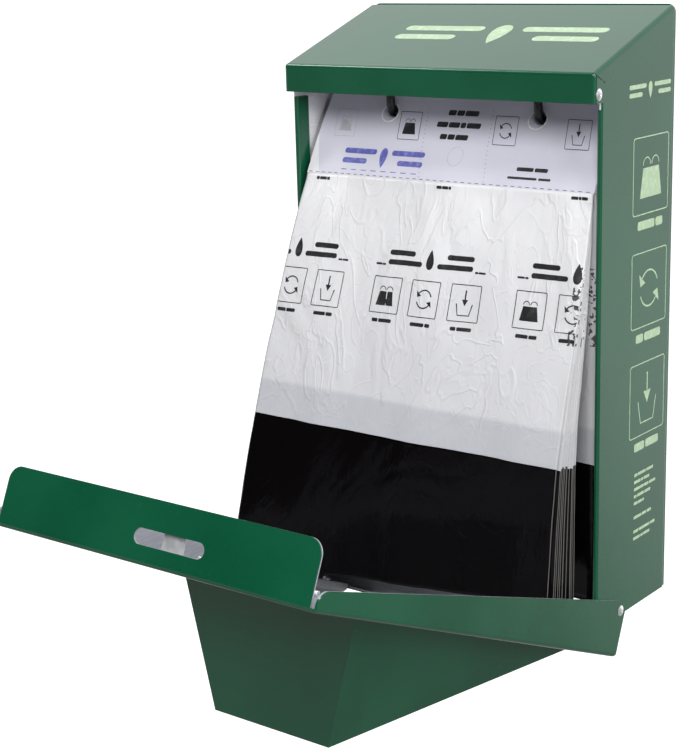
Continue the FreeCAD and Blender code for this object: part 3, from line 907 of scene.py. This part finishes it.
def make_film_prints(ink, grid):
    shapes = film_print_set(3.0, (0, 1, 2))
    shapes += film_print_set(-118.0, (1, 2))
    shapes += film_print_set(124.0, (0, 1))
    for x in (-111.0, 3.0, 118.0):
        shapes += words(x, 3.4, 13.0, 2.2, 3)
    piece = decal("mitt_print", shapes, on_sheet(grid), ink, 0.17 * MM, limit=PRINT_LIMIT)
    soft(piece)


# ---- header prints: x across and z up ----
def on_front_card(x, z, out):
    return card_point(0.0, x * MM, z * MM, out)


def leaning_sign(x, sign):
    return leaning(sign_box(x, CARD_SIGN_Z, 20.0, 20.0, 0.8, 0.45, sign), CARD_SIGN_Z)


def hole_highlight_ring(side):
    """A pale ring round a hole, a painted highlight standing for the lit edges of the holes in the
    cards behind, squeezed so that it is round on the leaning card.
    """
    squeeze = 1 / math.hypot(1.0, CARD_LEAN)
    points, fills = ring_shape(0, 0, HOLE_R / MM + 0.6, 1.2, steps=40)
    return [(x + side * ROD_X / MM, y * squeeze + HOLE_Z / MM) for x, y in points], fills


def make_card_prints(dark, blue, pale, white):
    lines = []
    for x, sign in ((-44, 0), (42, 1), (103, 2)):
        lines += leaning_sign(x, sign)
    for row, width in enumerate((27, 39, 25)):
        lines += words(1.0 - row, 147.0 - 8.4 * row, width, 3.7, 3 + (row == 1))
    for row, width in enumerate((26, 36)):
        lines += words(74.0 - row, 111.5 - 6.0 * row, width, 2.6 - row, 2)
    for x in (-27.0, 31.0):
        lines += leaning(dashes(x, 101.0, x, 151.0, 0.8, 2.2, 0.3), 125.0)
    lines += dashes(-MITT_HALF / MM + 2, 99.7, MITT_HALF / MM - 2, 99.7, 3.2, 3.0, 0.4)
    mark = emblem(-59.5, 112.5, 14.5) + dashes(-96.0, 103.0, -22.0, 103.0, 5.0, 4.4, 0.6)
    faint = [ring_shape(5.4, 117, 6.6, 0.35)] + leaning_sign(-105, 0)
    highlight_rings = [hole_highlight_ring(side) for side in (-1, 1)]
    prints = (
        ("card_print", lines, dark, 0.24 * MM),
        ("card_mark", mark, blue, 0.24 * MM),
        ("card_faint_print", faint, pale, 0.23 * MM),
        # painted highlight round the holes, for the lit edges of the cards behind
        ("card_hole_highlights", highlight_rings, white, 0.26 * MM),
    )
    for name, shapes, ink, lift in prints:
        soft(decal(name, shapes, on_front_card, ink, lift))


# ---- screen prints on the case: y and z on a side, and x and the way up the slope on the roof ----
def on_side(side):
    def place(y, z, out):
        return Vector((side * (HALF + out), y * MM, z * MM))

    return place


def on_roof(x, along, out):
    tilt = math.atan(ROOF_SLOPE)
    up = Vector((0, math.cos(tilt), math.sin(tilt)))
    normal = Vector((0, -math.sin(tilt), math.cos(tilt)))
    return Vector((x * MM, Y_FRONT, Z_FRONT)) + up * (along * MM) + normal * out


def side_shapes():
    """Three framed signs with a short line under each, the mark above, and small print below."""
    shapes = []
    for sign, z in enumerate((105.0, 21.0, -62.5)):
        shapes += sign_box(SIDE_SIGN_Y, z, 54.0, 56.5, 3.0, 0.8, sign)
        shapes += words(SIDE_SIGN_Y, z - 36.0, 38.0, 6.4, 2)
    shapes += emblem(-39.0, 166.0, 12.0)
    for row, width in enumerate((30, 24, 34, 26, 16, 0, 28, 0, 34, 26)):
        if width:
            shapes += words(-54.0 + width / 2, -120.0 - 5.6 * row, width, 2.3, 3)
    return shapes


def make_case_prints(ink):
    prints = (
        ("right_side_print", side_shapes(), on_side(1)),
        ("left_side_print", side_shapes(), on_side(-1)),
        ("roof_print", emblem(20, 64, 34), on_roof),
    )
    for name, shapes, place in prints:
        piece = decal(name, shapes, place, ink, 0.04 * MM, CASE_CELL)
        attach(piece, "case")


# ======== latch leaf: its mesh, cut across into strips, left unbent where it leaves its bracket ===
def make_leaf(material):
    mesh = frame["nodes"]["latch_leaf"].data.copy()
    shape = bmesh.new()
    shape.from_mesh(mesh)
    bmesh.ops.remove_doubles(shape, verts=shape.verts[:], dist=1e-6)
    low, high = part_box("latch_leaf")
    for i in range(1, LEAF_CUTS):
        slice_mesh(shape, (0, lerp(low.y, high.y, i / LEAF_CUTS), 0), (0, 1, 0))
    shape.to_mesh(mesh)
    shape.free()
    leaf = add_object("latch_leaf_strip", mesh)
    mesh.materials.clear()
    mesh.materials.append(material)
    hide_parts("latch_leaf")
    root = Vector(JOINTS["latch_flex"]["pos_m"])
    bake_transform(leaf)


# ======== the CAD nodes' materials ========
def dress_nodes():
    looks = {
        "case_shell": powder_coat("case_paint", bare_case),
        "back_panel": powder_coat("panel_paint", bare_nowhere),
        # the cover and its hood take the bare metal darkened as painted shade
        "cover_panel": powder_coat("cover_paint", bare_cover, SHADED_METAL),
        "cover_hood": powder_coat("hood_paint", bare_hood, SHADED_METAL),
    }
    rivet = plain_metal("rivet_aluminium", (0.72, 0.73, 0.74), (0.86, 0.86, 0.87),
                        roughness=0.28, metallic=0.85, grain=300.0)
    zinc = plain_metal("zinc_steel", (0.50, 0.51, 0.53), (0.70, 0.71, 0.72),
                       roughness=0.34, metallic=0.4, grain=120.0)
    black = plain_metal("black_steel", (0.006, 0.006, 0.007), (0.018, 0.018, 0.019),
                        roughness=0.30, metallic=0.0, grain=200.0)
    nylon = plain_metal("white_nylon", (0.74, 0.74, 0.71), (0.82, 0.82, 0.80),
                        roughness=0.5, metallic=0.0, grain=150.0)
    groups = (
        (rivet, ("back_rivets", "ear_rivets", "bracket_rivets", "pivot_rivets", "latch_rivets",
                 "hood_rivets")),
        (zinc, ("hanger_bracket", "hanger_nuts", "latch_bracket", "latch_keeper")),
        (black, ("right_hanger_rod", "left_hanger_rod")),
        (nylon, ("pivot_washers",)),
    )
    for material, names in groups:
        looks.update(dict.fromkeys(names, material))
    for name, material in looks.items():
        mesh = frame["nodes"][name].data
        if not mesh.materials:
            mesh.materials.append(material)
        for i in range(len(mesh.materials)):
            mesh.materials[i] = material


# ======== stage ========
def make_floor():
    """A pale floor far below that glows, as painted light: dimmer in front and near the object than
    behind it, with a faint glowing band further in front.
    """
    corners = [(sx * FLOOR_HALF, sy * FLOOR_HALF, FLOOR_Z)
               for sx, sy in ((-1, -1), (1, -1), (1, 1), (-1, 1))]
    material, tree, shader = new_material("floor")
    (x, y, _), vector = coordinates(tree)
    cloud = noise_field(tree, vector, 2.0, 3.0)
    tone = mix_colour(tree, cloud, (0.26, 0.26, 0.26), (0.29, 0.29, 0.29))
    tree.links.new(tone, shader.inputs["Base Color"])
    shader.inputs["Roughness"].default_value = 0.9
    shader.inputs["Specular IOR Level"].default_value = 0.0
    shader.inputs["Emission Color"].default_value = (1, 1, 1, 1)
    # the floor's glow is painted light: bright behind the object, dim in front, with a faint band
    # further ahead
    behind = x * -0.62 + y * 0.785
    ahead = y * -1.0
    bounce = ahead.ramp(1.5, 3.5, 0.0, 0.35) * ahead.ramp(6.0, 11.0, 1.0, 0.0)
    (behind.ramp(0.7, 1.9, 0.05, 1.05) + bounce).into(shader, "Emission Strength")
    mesh_object("floor", corners, [(0, 1, 2, 3)], material, smooth=False)


def make_light(name, place, size, power):
    light = bpy.data.lights.new(name, "AREA")
    light.shape = "RECTANGLE"
    light.size, light.size_y = size
    light.energy = power
    lamp = add_object(name, light)
    lamp.location = place
    aim = Vector(LIGHT_TARGET) - Vector(place)
    lamp.rotation_euler = aim.to_track_quat("-Z", "Y").to_euler()


def make_world():
    """A white studio that is bright above and behind the object, and dark in front of it."""
    world = bpy.data.worlds.new("studio")
    bpy.context.scene.world = world
    world.use_nodes = True
    tree = world.node_tree
    background = tree.nodes["Background"]
    background.inputs["Color"].default_value = (1.0, 1.0, 1.0, 1.0)
    (x, y, z), _ = coordinates(tree, "Generated")
    towards = x * -0.15 + y * 0.8 + z * 0.45
    towards.ramp(-0.05, 0.75, 0.03, 1.4).into(background, "Strength")


def make_camera():
    """The photograph's angle: right of the front, from a little above, with a slight roll."""
    level = Vector((-math.sin(CAMERA_YAW), math.cos(CAMERA_YAW), 0))
    right = Vector((math.cos(CAMERA_YAW), math.sin(CAMERA_YAW), 0))
    forward = level * math.cos(CAMERA_PITCH) - Vector((0, 0, math.sin(CAMERA_PITCH)))
    up = Vector((0, 0, math.cos(CAMERA_PITCH))) + level * math.sin(CAMERA_PITCH)
    tilted_right = right * math.cos(CAMERA_ROLL) + up * math.sin(CAMERA_ROLL)
    tilted_up = up * math.cos(CAMERA_ROLL) - right * math.sin(CAMERA_ROLL)
    turn = Matrix((tilted_right, tilted_up, -forward)).transposed()
    data = bpy.data.cameras.new("camera")
    data.lens = CAMERA_LENS
    data.sensor_width = CAMERA_SENSOR
    data.sensor_fit = "AUTO"
    camera = add_object("camera", data)
    camera.matrix_world = Matrix.Translation(CAMERA_PLACE) @ turn.to_4x4()
    bpy.context.scene.camera = camera


def main():
    bpy.context.scene.view_settings.view_transform = "Standard"
    dress_nodes()
    film = film_material()
    card = card_material()
    black_ink = ink_material("black_ink", (0.012, 0.012, 0.014), 0.02)
    blue_ink = ink_material("blue_ink", (0.10, 0.11, 0.38), 0.10)
    pale_ink = ink_material("pale_ink", (0.42, 0.41, 0.45), 0.05)
    cream_ink = ink_material("cream_ink", (0.40, 0.54, 0.35), 0.02)
    # pale ink for the painted highlights round the card holes
    hole_highlight_white = ink_material("hole_highlight_white", (0.78, 0.78, 0.78), 0.02)
    spring_steel = plain_metal("spring_steel", (0.34, 0.35, 0.37), (0.50, 0.51, 0.53),
                               roughness=0.3, metallic=0.95, grain=180.0)
    grid = make_mitts(film)
    make_cards(card)
    make_film_prints(black_ink, grid)
    make_card_prints(black_ink, blue_ink, pale_ink, hole_highlight_white)
    make_case_prints(cream_ink)
    make_leaf(spring_steel)
    make_floor()
    make_world()
    for light in LIGHTS:
        make_light(*light)
    make_camera()


main()
